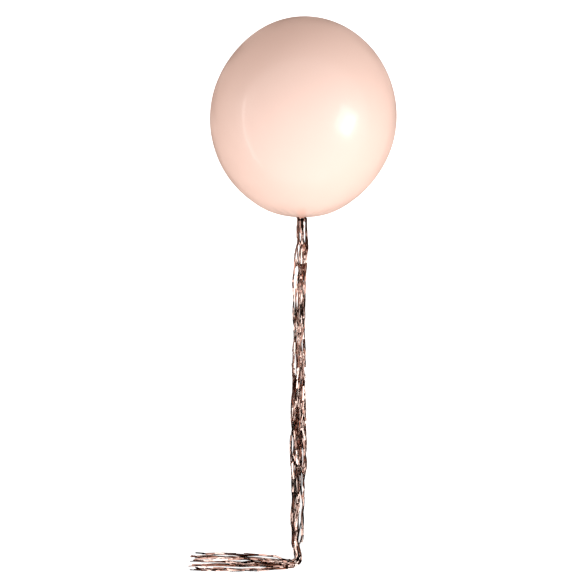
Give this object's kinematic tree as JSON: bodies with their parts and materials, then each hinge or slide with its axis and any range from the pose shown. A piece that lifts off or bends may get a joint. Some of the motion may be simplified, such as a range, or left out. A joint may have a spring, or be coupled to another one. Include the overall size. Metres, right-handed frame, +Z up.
{
  "type": "balloon",
  "caption": "Giant round latex balloon with a knotted neck and a long tail of foil tinsel bound round it, lying on a floor.",
  "frame": {"origin": "middle of the small flat on which the lying balloon rests, at floor level", "axes": "+Z up; the neck points along -Y and 15 degrees down; the tail runs along -Y on the floor and turns towards -X"},
  "size_m": [1.0134, 2.6374, 0.9105],
  "materials": {
    "latex": "smooth satin peach latex, a little see-through where it is thin",
    "thread": "wound blush cotton thread",
    "foil": "crinkled rose-gold metallic foil"
  },
  "bodies": {
    "root": {"balloon": "latex", "neck_tie": "thread", "tinsel_lock_1": "foil", "tinsel_lock_2": "foil", "tinsel_lock_3": "foil", "tinsel_lock_4": "foil", "tinsel_lock_5": "foil", "tinsel_lock_6": "foil"}
  },
  "joints": []
}
